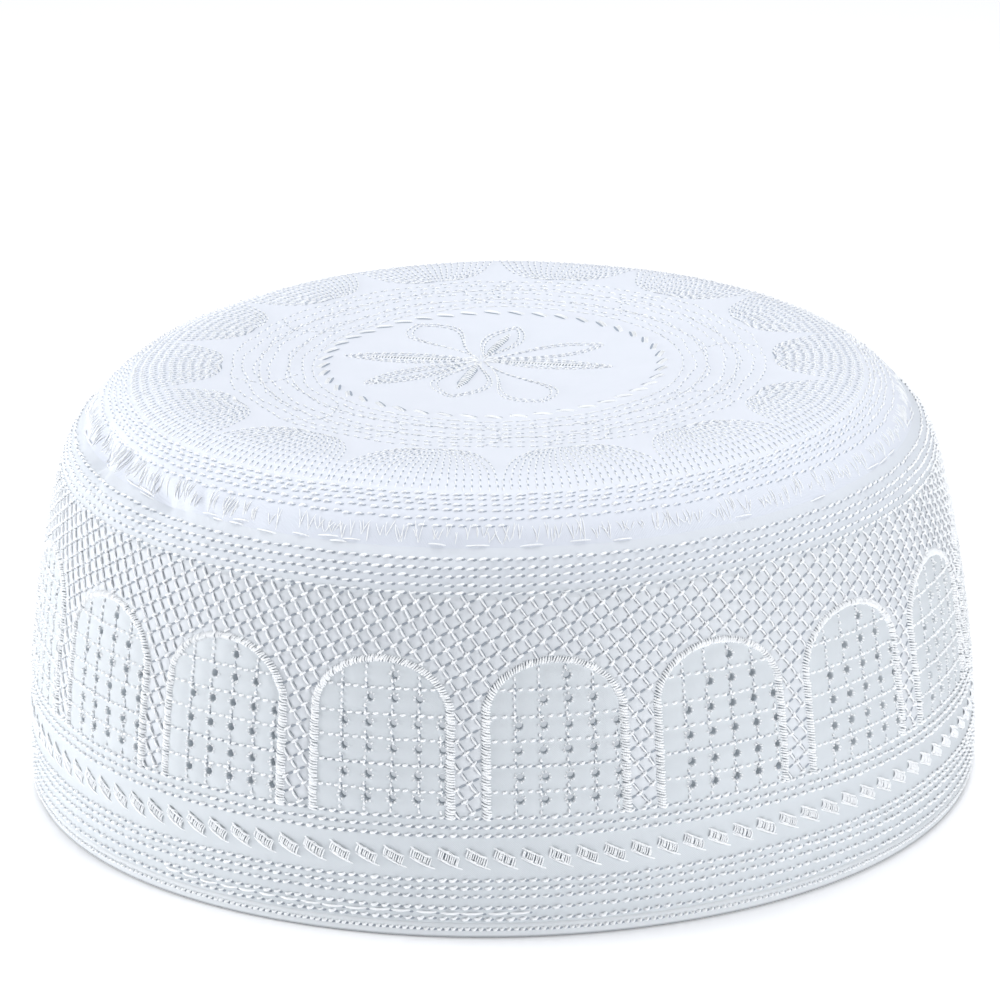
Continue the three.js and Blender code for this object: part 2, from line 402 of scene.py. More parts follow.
@dataclass(frozen=True)
class PolishedCotton:
    """Cotton poplin, plain woven and calendered: a smooth cloth with a faint grid of threads.

    The close weave gives a broad soft shine with a fine grain that only shows near the light.
    """

    name: str
    colour: str
    shade: str
    roughness: float = 0.62
    # Poplin has a thread every 0.2 mm; it is drawn every 0.42 mm, the finest the render shows
    thread_spacing: float = 0.42
    weave_depth: float = 0.035
    # Millimetres from one slightly thicker thread to the next
    slub_scale: float = 9.0
    # Slopes of the two families of quilting lines, in cells a millimetre, and how high the cells puff
    quilt_slopes: tuple = ()
    quilt_phases: tuple = ()
    quilt_depth: float = 0.5
    # The smaller this power, the flatter the top of a cell and the steeper its sides
    quilt_fullness: float = 0.45
    # The cloth is given a lighter colour where the quilting shows
    quilt_colour: str = ""
    # From this reach up the band is painted lighter: painted light on the top of the band, which curves in
    # towards the light
    shoulder_light_colour: str = ""
    shoulder_light_reach: float = 66.0
    # The crown's rim by the seam is painted greyer, a painted shade on the shoulder: from this far off the
    # cap's axis, in millimetres
    rim_shade_colour: str = ""
    rim_radius: float = 74.0
    rim_width: float = 9.0
    # How far up from the floor a fold is painted grey, in millimetres: a painted shade where it meets the
    # floor
    contact_shade_height: float = 0.0
    contact_shade_colour: str = "#63686d"
    # A painted glow, emission that stands for daylight soaking through thin white cotton to its wrong side
    painted_glow: float = 0.0

    def make(self) -> Material:
        """Builds the cloth's material."""
        material, tree, shader = new_finish(self.name)
        marks = add_node(tree, "ShaderNodeUVMap", {"uv_map": "cloth"}).outputs[0]
        place = add_node(tree, "ShaderNodeSeparateXYZ", links={0: marks})
        grain = {"Scale": 1 / self.slub_scale, "Detail": 4.0, "Roughness": 0.6}
        slub = add_node(tree, "ShaderNodeTexNoise", grain, {"Vector": marks}).outputs[0]
        colour = blended(tree, slub, self.shade, self.colour)
        if self.quilt_colour:
            colour = blended(tree, self.quilted(tree), colour, self.quilt_colour)
        # Painted light: the band is lighter from the shoulder's reach up
        if self.shoulder_light_colour:
            shoulder_light = self.from_to(tree, place.outputs[1], self.shoulder_light_reach - 1, self.shoulder_light_reach + 2)
            colour = blended(tree, shoulder_light, colour, self.shoulder_light_colour)
        # Painted shade: the crown is greyer towards its rim by the seam
        if self.rim_shade_colour:
            away = add_node(tree, "ShaderNodeVectorMath", {"operation": "LENGTH"}, {0: marks})
            rim = self.from_to(tree, away.outputs["Value"], self.rim_radius, self.rim_radius + self.rim_width)
            colour = blended(tree, rim, colour, self.rim_shade_colour)
        # Painted shade: the fold is greyed near the floor
        if self.contact_shade_height:
            spot = add_node(tree, "ShaderNodeTexCoord").outputs["Object"]
            height = add_node(tree, "ShaderNodeSeparateXYZ", links={0: spot}).outputs[2]
            clear_of_contact_shade = self.from_to(tree, height, 0.0, self.contact_shade_height * MM)
            colour = blended(tree, clear_of_contact_shade, self.contact_shade_colour, colour)
        tree.links.new(colour, shader.inputs["Base Color"])
        threads = {"Distance": self.weave_depth * MM, "Strength": 0.5}
        fine = add_node(tree, "ShaderNodeBump", threads, {"Height": self.weave(tree, place)})
        tree.links.new(fine.outputs[0], shader.inputs["Normal"])
        if self.quilt_slopes:
            swell = {"Distance": self.quilt_depth * MM, "Strength": 1.0}
            puffs = add_node(tree, "ShaderNodeBump", swell, {"Height": self.quilt(tree, marks)})
            tree.links.new(puffs.outputs[0], fine.inputs["Normal"])
        dress(shader, roughness=self.roughness, ior=1.5, sheen_weight=0.15, sheen_roughness=0.4)
        # Painted glow: the cloth gives off its own colour as light
        dress(shader, emission_color=srgb(self.colour), emission_strength=self.painted_glow)
        return material

    def from_to(self, tree: NodeTree, value: NodeSocket, first: float, last: float) -> NodeSocket:
        """A share that goes from 0 to 1 while the value goes from first to last."""
        ends = {"From Min": first, "From Max": last}
        return add_node(tree, "ShaderNodeMapRange", ends, {"Value": value}).outputs[0]

    def quilted(self, tree: NodeTree) -> NodeSocket:
        """How much of the quilting shows at each place of the band."""
        return add_node(tree, "ShaderNodeAttribute", {"attribute_name": "quilted"}).outputs["Fac"]

    def quilt(self, tree: NodeTree, marks: NodeSocket) -> NodeSocket:
        """The height of the cells that puff up between two families of slanted stitching.

        Args:
            tree: The cloth's node tree.
            marks: Places in millimetres.

        Returns:
            The height, from 0 on a line of stitches to 1 in the middle of a cell.
        """
        swells = []
        for slope, phase in zip(self.quilt_slopes, self.quilt_phases):
            turned = {"operation": "DOT_PRODUCT", 1: (math.pi * slope[0], math.pi * slope[1], 0.0)}
            cells = add_node(tree, "ShaderNodeVectorMath", turned, {0: marks}).outputs["Value"]
            wave = maths(tree, "SINE", maths(tree, "SUBTRACT", cells, math.pi * phase))
            swells.append(maths(tree, "POWER", maths(tree, "ABSOLUTE", wave), self.quilt_fullness))
        return maths(tree, "MULTIPLY", maths(tree, "MULTIPLY", *swells), self.quilted(tree))

    def weave(self, tree: NodeTree, place: Node) -> NodeSocket:
        """The height of warp over weft, from the marks in millimetres."""
        turns = 2 * math.pi / self.thread_spacing
        waves = [maths(tree, "SINE", maths(tree, "MULTIPLY", place.outputs[axis], turns)) for axis in (0, 1)]
        return maths(tree, "MULTIPLY", *waves)


@dataclass(frozen=True)
class RayonThread:
    """Two-ply rayon embroidery thread, spun bright: a white thread with a silky glint along it."""

    name: str = "rayon_embroidery_thread"
    colour: str = "#fbfdff"
    roughness: float = 0.3
    # Each ply crosses the thread every 0.4 mm
    twist_pitch: float = 0.4
    twist_depth: float = 0.05

    def make(self) -> Material:
        """Builds the thread's material."""
        material, tree, shader = new_finish(self.name)
        marks = add_node(tree, "ShaderNodeUVMap", {"uv_map": "cloth"})
        place = add_node(tree, "ShaderNodeSeparateXYZ", links={0: marks.outputs[0]}).outputs
        along = maths(tree, "MULTIPLY", place[0], 2 * math.pi / self.twist_pitch)
        plies = maths(tree, "SINE", maths(tree, "MULTIPLY_ADD", place[1], 2 * math.pi, along))
        ridges = {"Distance": self.twist_depth * MM, "Strength": 0.6}
        twist = add_node(tree, "ShaderNodeBump", ridges, {"Height": plies})
        tree.links.new(twist.outputs[0], shader.inputs["Normal"])
        dress(shader, base_color=srgb(self.colour), roughness=self.roughness, ior=1.48, sheen_weight=0.2)
        return material


@dataclass(frozen=True)
class PaintedHoleShade:
    """Painted shade of cotton drawn down a needle hole: the same woven cloth, coloured grey for the shade it
    lies in.
    """

    name: str = "pricked_cotton"
    colour: str = "#868d96"
    pale: str = "#a9b1bb"
    # Patches of deeper and lighter painted shade, this many to a metre
    patches: float = 260.0

    def make(self) -> Material:
        """Builds the painted shade material of the holes."""
        material, tree, shader = new_finish(self.name)
        place = add_node(tree, "ShaderNodeTexCoord").outputs["Object"]
        patchy = add_node(tree, "ShaderNodeTexNoise", {"Scale": self.patches, "Detail": 2.0}, {0: place})
        colour = blended(tree, patchy.outputs[0], self.colour, self.pale)
        tree.links.new(colour, shader.inputs["Base Color"])
        dress(shader, roughness=0.9, ior=1.5)
        return material


@dataclass
class PaintedShadeMarks:
    """The painted shade of pricks where thread goes down through the cloth, gathered in one piece.

    Each is a long flat hexagon laid just over the cloth and coloured as shade, not a real hole.
    """

    name: str
    width: float
    lift: float = 0.05
    outlines: list = field(default_factory=list)

    def mark(
        self, starts: np.ndarray, ends: np.ndarray, chart: Chart = Chart.SIDE, width: float = 0.0
    ) -> None:
        """Marks one hole from each start to each end.

        Args:
            starts: Places where the holes begin, two numbers each.
            ends: Places where they end.
            chart: What the two numbers are.
            width: Their width, where it isn't the usual one.
        """
        if len(starts) == 0:
            return
        share = np.array([0.0, 0.22, 0.78, 1.0])[None, :, None]
        path = starts[:, None] * (1 - share) + ends[:, None] * share
        turn, reach = FORM.chart(path[..., 0], path[..., 1], chart)
        centre = FORM.place(turn, reach, self.lift)
        out = FORM.place(turn, reach, self.lift + 1.0) - centre
        aside = 0.5 * (width or self.width) * unit(np.cross(centre[:, -1:] - centre[:, :1], out))
        right, left = centre + aside, centre - aside
        corners = [centre[:, 0], right[:, 1], right[:, 2], centre[:, 3], left[:, 2], left[:, 1]]
        self.outlines.append(np.stack(corners, 1))

    def finish(self, material: Material, slot: Slot) -> Object:
        """Makes the piece from all holes marked."""
        points = np.concatenate(self.outlines)
        first = 6 * np.arange(len(points))[:, None]
        faces = np.stack([first + [0, 1, 2, 3], first + [0, 3, 4, 5]], 1)
        return make_piece(self.name, points, faces, material)


@dataclass
class ThreadWork:
    """Stitches gathered in one piece: each a short thread that comes up out of the cloth and goes back in."""

    name: str
    seed: int = 1
    width: float = 0.44
    rise: float = 0.3
    sink: float = 0.16
    stations: int = 4
    sides: int = 5
    # Each thread is an open tube: the angles round it where its skin starts and ends, in degrees
    skin: tuple = (-35, 215)
    holes: PaintedShadeMarks | None = None
    # The painted shade of the hole at the end of each stitch: half its length, how far past the end and below
    # it its middle is
    hole_half: float = 0.4
    hole_ahead: float = 0.2
    hole_below: float = 0.16
    # How far stitches keep from the middle of an eyelet, where they do
    clearance: float = 0.0
    # What the two numbers of each place are
    chart: Chart = Chart.SIDE
    points: list = field(default_factory=list)
    faces: list = field(default_factory=list)
    marks: list = field(default_factory=list)
    count: int = 0

    def __post_init__(self) -> None:
        """Starts the piece's own run of chance."""
        self.chance = np.random.default_rng(self.seed)

    def sew(
        self,
        starts: np.ndarray,
        ends: np.ndarray,
        width: float | None = None,
        rise: float | None = None,
        bow: np.ndarray | float = 0.0,
        stations: int | None = None,
        uneven: float = 0.08,
    ) -> None:
        """Sews one straight or bowed stitch from each start to each end.

        Args:
            starts: Places where the threads come up, two numbers each.
            ends: Places where they go in.
            width: The thread's width.
            rise: How high the thread lies over the cloth in its middle.
            bow: How far its middle is bowed to its left, as a share of its length.
            stations: How many rings each thread has.
            uneven: How much width and rise vary from stitch to stitch, as a share.
        """
        starts, ends = np.atleast_2d(starts), np.atleast_2d(ends)
        if len(starts) == 0:
            return
        rings = stations or self.stations
        share = np.linspace(0, 1, rings)[None, :, None]
        path = starts[:, None] * (1 - share) + ends[:, None] * share
        side = (ends - starts)[:, None, ::-1] * np.array([-1.0, 1.0])
        bowed = np.broadcast_to(np.asarray(bow, float), (len(starts),))[:, None, None]
        path = path + side * bowed * 4 * share * (1 - share)
        vary = 1 + uneven * self.chance.standard_normal((len(starts), 2))
        vary = np.clip(vary, 0.6, 1.4)
        arch = np.sin(np.pi * share[..., 0]) ** 0.6
        height = (rise or self.rise) * vary[:, :1] * arch - self.sink * (1 - arch)
        turn, reach = FORM.chart(path[..., 0], path[..., 1], self.chart)
        centre = FORM.place(turn, reach, height)
        out = unit(FORM.place(turn, reach, height + 1.0) - centre)
        along = unit(np.gradient(centre, axis=1))
        across = unit(np.cross(along, out))
        up = np.cross(across, along)
        half = 0.5 * (width or self.width) * vary[:, 1:] * (0.72 + 0.28 * arch)
        angle = np.radians(np.linspace(*self.skin, self.sides))
        ring = across[:, :, None] * np.cos(angle)[:, None] + up[:, :, None] * np.sin(angle)[:, None]
        body = centre[:, :, None] + half[..., None, None] * ring
        length = np.linalg.norm(np.diff(centre, axis=1), axis=-1).sum(1)
        self.keep(body, length)

    def keep(self, body: np.ndarray, length: np.ndarray) -> None:
        """Keeps threads given as rings of corners.

        Args:
            body: Corners by thread, ring and place round the thread.
            length: Each thread's length, for its twist.
        """
        threads, rings, sides = body.shape[:3]
        numbers = self.count + np.arange(threads * rings * sides).reshape(threads, rings, sides)
        low, high = numbers[:, :-1], numbers[:, 1:]
        faces = np.stack([low[..., :-1], high[..., :-1], high[..., 1:], low[..., 1:]], -1)
        along = np.linspace(0, 1, rings)[None, :, None] * length[:, None, None]
        round_it = np.linspace(0, 1, sides)[None, None, :]
        mark = np.stack(np.broadcast_arrays(along, round_it), -1)
        marks = np.stack([mark[:, :-1, :-1], mark[:, 1:, :-1], mark[:, 1:, 1:], mark[:, :-1, 1:]], -2)
        self.points.append(body.reshape(-1, 3))
        self.faces.append(faces.reshape(-1, 4))
        self.marks.append(marks.reshape(-1, 2))
        self.count += threads * rings * sides

    def clear(self, middles: np.ndarray, path: np.ndarray, run: np.ndarray) -> np.ndarray:
        """Which stitches keep clear of the eyelets, by where their middles lie along a path."""
        turn, reach = (np.interp(middles, run, path[:, i]) for i in (0, 1))
        aside, level = ARCHES.aside(turn), np.ones(len(turn), bool)
        for column, height in ARCHES.eyelets():
            offset = ARCHES.step * (column + ARCHES.eyelet_shift)
            level &= np.hypot((aside - offset) * ACROSS, reach - height) > self.clearance
        return level

    def run(
        self,
        path: np.ndarray,
        pitch: float,
        cover: float = 0.72,
        wander: float = 0.05,
        slant: float = 0.1,
        **looks: float,
    ) -> None:
        """Sews a running row along a path.

        Args:
            path: Places along the row, two numbers each.
            pitch: Millimetres from stitch to stitch.
            cover: The share of each pitch that shows thread.
            wander: How far stitches stray off the row, in millimetres.
            slant: How far each stitch starts below the row and ends above it, in millimetres.
            looks: Width, rise and the like, as sew takes them.
        """
        turn, reach = FORM.chart(path[:, 0], path[:, 1], self.chart)
        where = FORM.place(turn, reach)
        run = run_length(where)
        whole = run[-1]
        if np.linalg.norm(where[-1] - where[0]) < 0.05:
            # A closed row goes on past its ends, so that no gap shows where it meets itself
            turned = path[-1] - path[0]
            path = np.concatenate([path[-5:-1] - turned, path, path[1:5] + turned])
            run = np.concatenate([run[-5:-1] - whole, run, run[1:5] + whole])
        count = max(int(round(whole / pitch)), 1)
        step = whole / count
        middles = (np.arange(count) + 0.5) * step + self.chance.uniform(-0.08, 0.08, count) * step
        stray = self.chance.uniform(-wander, wander, count)
        half = 0.5 * cover * step * self.chance.uniform(0.86, 1.12, count)
        kept = self.clear(middles, path, run) if self.clearance else np.ones(count, bool)
        middles, stray, half, count = middles[kept], stray[kept], half[kept], int(kept.sum())

        def along(at: np.ndarray, aside: np.ndarray) -> np.ndarray:
            """Places at distances along the path, moved aside by some millimetres."""
            scale = np.array([ACROSS, 1.0]) if self.chart is Chart.SIDE else np.ones(2)
            way = unit((sampled(at + 0.05, run, path) - sampled(at - 0.05, run, path)) * scale)
            across = pairs(-way[:, 1], way[:, 0])
            return sampled(at, run, path) + across * np.asarray(aside)[:, None] / scale

        self.sew(along(middles - half, stray - slant), along(middles + half, stray + slant), **looks)
        # Painted shade of a needle hole past the end of each stitch
        if self.holes is not None:
            at, gap, under = middles + half + self.hole_ahead, self.hole_half, stray - self.hole_below
            self.holes.mark(along(at - gap, under - slant), along(at + gap, under + slant), self.chart)

    def finish(self, material: Material) -> Object:
        """Makes the piece from all stitches kept."""
        return make_piece(
            self.name,
            np.concatenate(self.points),
            np.concatenate(self.faces),
            material,
            np.concatenate(self.marks),
        )


@dataclass
class ArchLayout:
    """Where the arches stand round the band, and their shape."""

    count: int = 18
    first_turn: float = 5.95
    half_width: float = 7.89
    foot: float = 24.0
    spring: float = 43.5
    rise: float = 10.3
    # The grid inside an arch: degrees from its middle to the columns, and millimetres up to the rows
    columns: tuple = (-4.6, -1.77, 1.35, 4.5)
    rows: tuple = (24.1, 29.0, 33.9, 38.7, 43.3, 48.3)
    # Columns of the band's mesh for each arch
    grid_steps: int = 42
    # The eyelets: millimetres up, and columns of the mesh from the arch's middle
    eyelet_rows: tuple = (27.4, 31.8, 36.9, 41.6, 46.4, 50.8)
    eyelet_columns: tuple = (-9, -3, 3, 9, 15)
    eyelet_shift: float = 0.2
    # Degrees that an eyelet strays at most, and that the last column stands further in
    eyelet_stray: float = 0.08
    last_column_inset: float = 0.06

    @property
    def pitch(self) -> float:
        """Degrees from arch to arch."""
        return FULL_TURN / self.count

    @property
    def step(self) -> float:
        """Degrees from column to column of the band's mesh."""
        return self.pitch / self.grid_steps

    @property
    def middles(self) -> np.ndarray:
        """The turn of each arch's middle."""
        return self.first_turn + self.pitch * np.arange(self.count)

    def aside(self, turn: np.ndarray) -> np.ndarray:
        """Degrees from the middle of the nearest arch."""
        return (np.asarray(turn) - self.first_turn + self.pitch / 2) % self.pitch - self.pitch / 2

    def depth_inside(self, turn: np.ndarray, reach: np.ndarray) -> np.ndarray:
        """How far inside its arch a place is, as a share: 1 in the middle, 0 on the satin, less outside."""
        across = np.abs(self.aside(turn)) / self.half_width
        above = np.maximum(np.asarray(reach) - self.spring, 0) / self.rise
        return 1 - np.hypot(across, above)

    def half_span(self, reach: float) -> float:
        """Half the arch's opening at a reach, in degrees."""
        above = max(reach - self.spring, 0.0) / self.rise
        return self.half_width * math.sqrt(max(1 - above * above, 0.0))

    def eyelet_turn(self, arch: int, column: int, reach: float) -> float:
        """The turn of an eyelet's middle, each punched a little off its place."""
        stray = self.eyelet_stray * math.sin(5.1 * arch + 7.3 * column + 3.1 * reach)
        if column == self.eyelet_columns[-1]:
            stray -= self.last_column_inset
        return self.first_turn + self.pitch * arch + self.step * (column + self.eyelet_shift) + stray

    def eyelets(self) -> list[tuple[int, float]]:
        """Each arch's eyelets as the mesh column of the middle and the reach."""
        found = []
        for place, reach in enumerate(self.eyelet_rows):
            kept = {4: self.eyelet_columns[1:4], 5: self.eyelet_columns[2:3]}.get(place, self.eyelet_columns)
            found += [(column, reach) for column in kept]
        return found


ARCHES = ArchLayout()


@dataclass
class LatticeLayout:
    """The slanted lattice round the arches: two families of lines, counted in cells."""

    # Cells for each arch round the band, cells for each millimetre up it, and where a line lies
    lines: tuple = ((6, -0.328, 0.729), (10, 0.211, 0.506))
    low: float = 24.6
    high: float = 66.3
    # It fades out over this share of an arch outside each one
    fade: float = 0.08

    @property
    def slopes(self) -> np.ndarray:
        """Cells for each degree and each millimetre, one row for each family."""
        return np.array([[cells / ARCHES.pitch, climb] for cells, climb, _ in self.lines])

    @property
    def phases(self) -> np.ndarray:
        """Where a line of each family lies, as a share of a cell."""
        return np.array([phase for _, _, phase in self.lines])

    def shown(self, turn: np.ndarray, reach: np.ndarray) -> np.ndarray:
        """How much of the lattice shows at each place: 1 in it, 0 elsewhere."""
        outside = np.clip(-ARCHES.depth_inside(turn, reach) / self.fade, 0, 1)
        level = np.clip(reach - self.low, 0, 1) * np.clip(self.high - reach, 0, 1)
        return outside * level


LATTICE = LatticeLayout()


@dataclass
class SideBand:
    """The band's cloth: an outer and an inner face, pierced by every eyelet."""

    low: float = 3.3
    high: float = 75.0
    wall: float = 1.6
    # How far the cloth puffs out between stitches, and how far from a stitch it is fully out
    puff: float = 0.32
    puff_reach: float = 2.0
    # About how many millimetres wide a degree of an arch is
    degree_width: float = 1.6
    # The share of the puffs that is left round an eyelet
    rim_share: float = 0.6
    # The last row of stitches under an arch's top, and the satin's places aside, in degrees
    top_row: float = 53.2
    legs: tuple = (-7.9, 7.4)
    # The height of the block of cells round each eyelet
    block_height: float = 2.34
    # Rings round an eyelet, from its rim down into its bore: radius and lift
    rim: tuple = ((1.0, 0.14), (0.84, 0.16), (0.74, -0.08), (0.7, -1.5))

    def relief(self, turn: np.ndarray, reach: np.ndarray) -> np.ndarray:
        """How far the cloth puffs out between its stitches, in millimetres."""
        inside = ARCHES.depth_inside(turn, reach)
        rows = np.array(ARCHES.rows + (self.top_row,))
        columns = np.array(ARCHES.columns + self.legs)
        near_row = np.min(np.abs(np.asarray(reach)[..., None] - rows), -1)
        near_column = np.min(np.abs(ARCHES.aside(turn)[..., None] - columns), -1) * self.degree_width
        cell = np.clip(near_row / self.puff_reach, 0, 1) * np.clip(near_column / self.puff_reach, 0, 1)
        puff = self.puff * np.sin(0.5 * np.pi * cell)
        return np.where((inside > 0.02) & (reach > ARCHES.foot), puff, 0.0)

    def heights(self, block: int, step: float, spread: float) -> tuple[np.ndarray, list[int]]:
        """Reaches of the mesh's rows, with a block of rows round each row of eyelets.

        Args:
            block: Cells across a block.
            step: A cell's height in a block.
            spread: The height of cells elsewhere.

        Returns:
            The reaches, and the number of the row that each block starts from.
        """
        reaches = [self.low]
        starts = []
        for middle in ARCHES.eyelet_rows:
            bottom = middle - block * step / 2
            cells = max(int(round((bottom - reaches[-1]) / spread)), 1)
            reaches += list(np.linspace(reaches[-1], bottom, cells + 1)[1:])
            starts.append(len(reaches) - 1)
            reaches += [bottom + step * (i + 1) for i in range(block)]
        cells = int(round((self.high - reaches[-1]) / spread))
        reaches += list(np.linspace(reaches[-1], self.high, cells + 1)[1:])
        return np.array(reaches), starts

    def face(
        self,
        name: str,
        block: int,
        stride: int,
        spread: float,
        rings: tuple,
        inset: float,
        material: Material,
    ) -> Object:
        """Builds one pierced face of the band.

        Args:
            name: The piece's name.
            block: Cells across the patch round an eyelet.
            stride: How many of the layout's columns one cell spans.
            spread: The height of cells away from the eyelets.
            rings: Radius and lift of the rings of each eyelet.
            inset: How far the face lies inside the outer one.
            material: The cloth.

        Returns:
            The face's object.
        """
        columns = ARCHES.grid_steps * ARCHES.count // stride
        spare = (1 - 0.5 * block * stride) % stride
        offset = ARCHES.eyelet_shift + spare
        turns = ARCHES.first_turn + ARCHES.step * (stride * np.arange(columns + 1) + offset)
        reaches, starts = self.heights(block, self.block_height / block, spread)
        rows = len(reaches)
        numbers = corner_numbers(rows, columns)
        turn, reach = np.meshgrid(turns, reaches)
        lift = self.relief(turn, reach) - inset
        points = [FORM.place(turn[:, :-1], reach[:, :-1], lift[:, :-1]).reshape(-1, 3)]
        quilted = [LATTICE.shown(turn[:, :-1], reach[:, :-1]).reshape(-1)]
        corners = cell_corners(numbers)
        marks = cell_corners(np.stack([(turn - ARCHES.first_turn) * ACROSS, reach], -1))
        whole = np.ones(corners.shape[:2], bool)
        patches, patch_marks = [], []
        count = rows * columns
        rise = dict(zip(ARCHES.eyelet_rows, starts))
        edge = block_edge(block)
        angle = np.radians(45 + FULL_TURN / len(edge) * (np.arange(len(edge)) - block))
        for arch in range(ARCHES.count):
            for column, height in ARCHES.eyelets():
                left = round((arch * ARCHES.grid_steps + column - 0.5 * block * stride - spare) / stride)
                bottom = rise[height]
                whole[bottom : bottom + block, np.arange(left, left + block) % columns] = False
                middle_turn = ARCHES.eyelet_turn(arch, column, height)
                previous = numbers[bottom + edge[:, 1], (left + edge[:, 0]) % columns]
                for radius, out in rings:
                    ring_turn = middle_turn + np.degrees(radius * np.cos(angle) / MEAN_RADIUS)
                    ring_reach = height + radius * np.sin(angle)
                    ring_lift = self.relief(ring_turn, ring_reach) * self.rim_share + out - inset
                    points.append(FORM.place(ring_turn, ring_reach, ring_lift))
                    quilted.append(np.zeros(len(edge)))
                    ring = count + np.arange(len(edge))
                    count += len(edge)
                    patches.append(np.stack([previous, np.roll(previous, -1), np.roll(ring, -1), ring], -1))
                    spot = np.stack([(ring_turn - ARCHES.first_turn) * ACROSS, ring_reach], -1)
                    patch_marks.append(np.repeat(spot[:, None], 4, 1))
                    previous = ring
        faces = np.concatenate([corners[whole], *patches])
        all_marks = np.concatenate([marks[whole].reshape(-1, 2), *[m.reshape(-1, 2) for m in patch_marks]])
        return make_piece(
            name, np.concatenate(points), faces, material, all_marks, np.concatenate(quilted)
        )

    def build(self, material: Material, wrong_side: Material) -> None:
        """Builds both faces of the band and hides the solid they stand for."""
        outer = self.face("band_outer_cloth", 3, 1, 1.0, self.rim, 0.0, material)
        inner = self.face("band_inner_cloth", 2, 2, 1.9, ((0.8, 0.0),), self.wall, wrong_side)
        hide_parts("side_band")


def block_edge(block: int) -> np.ndarray:
    """Corners round a square block of cells, counter-clockwise from its lower right corner."""
    side = np.arange(block)
    right = pairs(np.full(block, block), side)
    top = pairs(block - side, np.full(block, block))
    left = pairs(np.zeros(block, int), block - side)
    bottom = pairs(side, np.zeros(block, int))
    return np.concatenate([right, top, left, bottom])


@dataclass
class TurnedCloth:
    """A face of cloth turned round the cap, from one reach to another."""

    name: str
    slot: Slot
    columns: int
    reaches: np.ndarray
    insets: np.ndarray

    def build(self, material: Material) -> Object:
        """Builds the face.

        Args:
            material: The cloth.

        Returns:
            The face's object.
        """
        turns = np.linspace(0, FULL_TURN, self.columns + 1)
        turn, reach = np.meshgrid(turns, self.reaches)
        points = FORM.place(turn, reach, -np.asarray(self.insets)[:, None])
        numbers = corner_numbers(len(self.reaches), self.columns)
        mark = points[..., :2] if self.slot is Slot.CROWN else np.stack([turn * ACROSS, reach], -1)
        faces, marks = cell_corners(numbers), cell_corners(mark)
        return make_piece(self.name, points[:, :-1], faces, material, marks)


@dataclass
class CrownPanel:
    """The crown's cloth: an outer face and its wrong side."""

    wall: float = 1.6
    # Rows of the mesh, closer over the shoulder than on the flat top: first and last reach, and how many
    shoulder: tuple = (75.0, 95.0, 24)
    top_start: float = 96.0
    top_rows: int = 34
    columns: int = 540
    lining_columns: int = 180

    def build(self, material: Material, wrong_side: Material) -> None:
        """Builds both faces of the crown and hides the solid they stand for."""
        top = np.linspace(self.top_start, FORM.length, self.top_rows)
        reaches = np.concatenate([np.linspace(*self.shoulder), top])
        outer = self.face("crown_outer_cloth", self.columns, reaches, 0.0, material)
        inner = self.face("crown_inner_cloth", self.lining_columns, reaches[::2], self.wall, wrong_side)
        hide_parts("crown_panel")

    def face(self, name: str, columns: int, reaches: np.ndarray, inset: float, material: Material) -> Object:
        """Builds one face, a number of millimetres inside the outer one."""
        return TurnedCloth(name, Slot.CROWN, columns, reaches, np.full_like(reaches, inset)).build(material)


@dataclass
class HemEdge:
    """The band's cloth, folded round the hem."""

    columns: int = 378
    # The fold's cross-section from the wrong side round to the outer face: reach and inset
    section: tuple = (
        (3.3, 1.2),
        (3.3, 1.9),
        (2.6, 2.4),
        (1.6, 2.45),
        (0.7, 2.4),
        (0.25, 2.15),
        (0.0, 1.7),
        (0.0, 1.0),
        (0.08, 0.6),
        (0.35, 0.22),
        (0.9, 0.03),
        (1.6, 0.0),
        (2.4, 0.0),
        (3.3, 0.05),
        (3.4, 0.6),
        (3.3, 1.2),
    )

    def build(self, material: Material) -> None:
        """Builds the fold and hides the solid it stands for."""
        reaches, insets = np.array(self.section).T
        hem = TurnedCloth("hem_fold", Slot.HEM, self.columns, reaches, insets).build(material)
        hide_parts("hem_edge")


